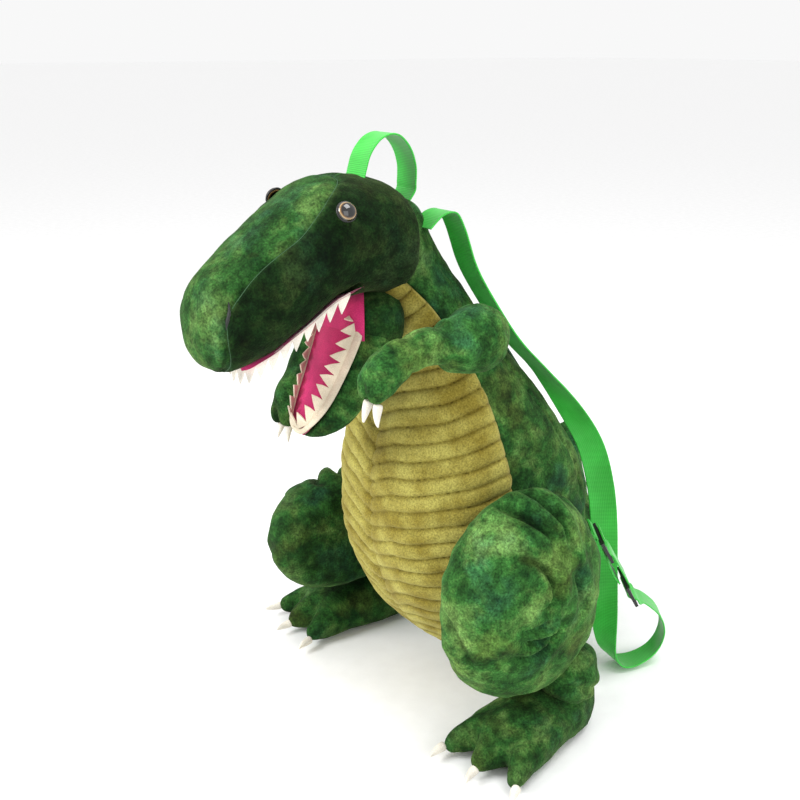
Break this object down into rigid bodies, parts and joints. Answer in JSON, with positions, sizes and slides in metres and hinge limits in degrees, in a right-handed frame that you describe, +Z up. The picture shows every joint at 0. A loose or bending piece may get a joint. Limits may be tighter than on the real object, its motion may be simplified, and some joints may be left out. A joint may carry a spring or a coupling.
{
  "type": "plush dinosaur backpack",
  "caption": "Seated green plush dinosaur with ribbed belly, open toothed mouth, webbing shoulder straps and a zipped bag in its back.",
  "frame": {"origin": "on the floor, under the middle of the overall box", "axes": "+Z up; the toy faces -Y and its left side is +X; +Y runs back towards the tail"},
  "size_m": [0.3592, 0.5054, 0.4672],
  "materials": {
    "green_plush": "short mottled plush pile, dark to mid green",
    "olive_corduroy": "wide-wale velour ribs",
    "pink_felt": "smooth short-nap felt",
    "cream_felt": "stiff needle felt",
    "polyester_filling": "loose polyester fibre",
    "brown_eye": "polished dome with a black pupil",
    "green_webbing": "flat woven polypropylene webbing",
    "black_plastic": "moulded, satin",
    "green_zip_tape": "woven zip tape with nylon teeth",
    "zip_metal": "dark lacquered die-casting",
    "lining_cloth": "thin woven lining"
  },
  "bodies": {
    "body": {"belly_left": "olive_corduroy", "belly_right": "olive_corduroy", "side_left": "green_plush", "side_right": "green_plush", "back_panel": "green_plush", "body_filling": "polyester_filling", "neck_skin": "green_plush", "zip_placket": "green_zip_tape", "bag_lining": "lining_cloth", "shoulder_strap_left": "green_webbing", "shoulder_strap_right": "green_webbing", "ring_tab_left": "green_webbing", "ring_tab_right": "green_webbing", "strap_ring_left": "black_plastic", "strap_ring_right": "black_plastic", "tri_glide_left": "black_plastic", "tri_glide_right": "black_plastic"},
    "head": {"head_side_left": "green_plush", "head_side_right": "green_plush", "head_top": "green_plush", "palate": "pink_felt", "head_filling": "polyester_filling", "teeth_upper": "cream_felt", "eye_left": "brown_eye", "eye_right": "brown_eye", "carry_loop": "green_webbing"},
    "jaw": {"jaw_skin": "green_plush", "tongue_lining": "pink_felt", "jaw_filling": "polyester_filling", "teeth_lower": "cream_felt"},
    "tail": {"tail": "green_plush", "tail_filling": "polyester_filling"},
    "slider": {"zip_slider": "zip_metal"},
    "pull": {"zip_pull": "zip_metal"},
    "lip_left": {"zip_lip_left": "green_zip_tape"},
    "lip_right": {"zip_lip_right": "green_zip_tape"},
    "arm_left": {"arm_left": "green_plush", "arm_filling_left": "polyester_filling", "finger_claw_left_1": "cream_felt", "finger_claw_left_2": "cream_felt"},
    "leg_left": {"thigh_left": "green_plush", "thigh_filling_left": "polyester_filling", "foot_left": "green_plush", "foot_filling_left": "polyester_filling", "toe_claw_left_1": "cream_felt", "toe_claw_left_2": "cream_felt", "toe_claw_left_3": "cream_felt"},
    "arm_right": {"arm_right": "green_plush", "arm_filling_right": "polyester_filling", "finger_claw_right_1": "cream_felt", "finger_claw_right_2": "cream_felt"},
    "leg_right": {"thigh_right": "green_plush", "thigh_filling_right": "polyester_filling", "foot_right": "green_plush", "foot_filling_right": "polyester_filling", "toe_claw_right_1": "cream_felt", "toe_claw_right_2": "cream_felt", "toe_claw_right_3": "cream_felt"}
  },
  "joints": [
    {"name": "neck_nod", "type": "hinge", "parent": "body", "child": "head", "pos_m": [0, -0.09375, 0.385], "axis": [1, 0, 0], "range_deg": [-10, 4]},
    {"name": "jaw_close", "type": "hinge", "parent": "head", "child": "jaw", "pos_m": [0, -0.11775, 0.352], "axis": [1, 0, 0], "range_deg": [-24, 3]},
    {"name": "shoulder_swing_left", "type": "hinge", "parent": "body", "child": "arm_left", "pos_m": [0.072, -0.07075, 0.332], "axis": [1, 0, 0], "range_deg": [-15, 35]},
    {"name": "shoulder_swing_right", "type": "hinge", "parent": "body", "child": "arm_right", "pos_m": [-0.072, -0.07075, 0.332], "axis": [1, 0, 0], "range_deg": [-45, 8]},
    {"name": "hip_swing_left", "type": "hinge", "parent": "body", "child": "leg_left", "pos_m": [0.0905, -0.04875, 0.131], "axis": [1, 0, 0], "range_deg": [-8, 8]},
    {"name": "hip_swing_right", "type": "hinge", "parent": "body", "child": "leg_right", "pos_m": [-0.0905, -0.05875, 0.101], "axis": [1, 0, 0], "range_deg": [-8, 8]},
    {"name": "tail_swing", "type": "hinge", "parent": "body", "child": "tail", "pos_m": [0, 0.08725, 0.092], "axis": [0, 0, 1], "range_deg": [-8, 4]},
    {"name": "zip_slide", "type": "slide", "parent": "body", "child": "slider", "axis": [0, 0.6, -0.8], "range_m": [0, 0.1]},
    {"name": "pull_flip", "type": "hinge", "parent": "slider", "child": "pull", "pos_m": [0, 0.00983, 0.30436], "axis": [1, 0, 0], "range_deg": [0, 110]},
    {"name": "lip_fold_left", "type": "hinge", "parent": "body", "child": "lip_left", "pos_m": [0.0209, 0.03475, 0.2618], "axis": [0, -0.6, 0.8], "range_deg": [0, 62]},
    {"name": "lip_fold_right", "type": "hinge", "parent": "body", "child": "lip_right", "pos_m": [-0.0209, 0.03475, 0.2618], "axis": [0, 0.6, -0.8], "range_deg": [0, 62]}
  ],
  "couplings": [
    {"joint": "lip_fold_left", "follows": "zip_slide", "rad_per_m": 10.5},
    {"joint": "lip_fold_right", "follows": "zip_slide", "rad_per_m": 10.5}
  ]
}
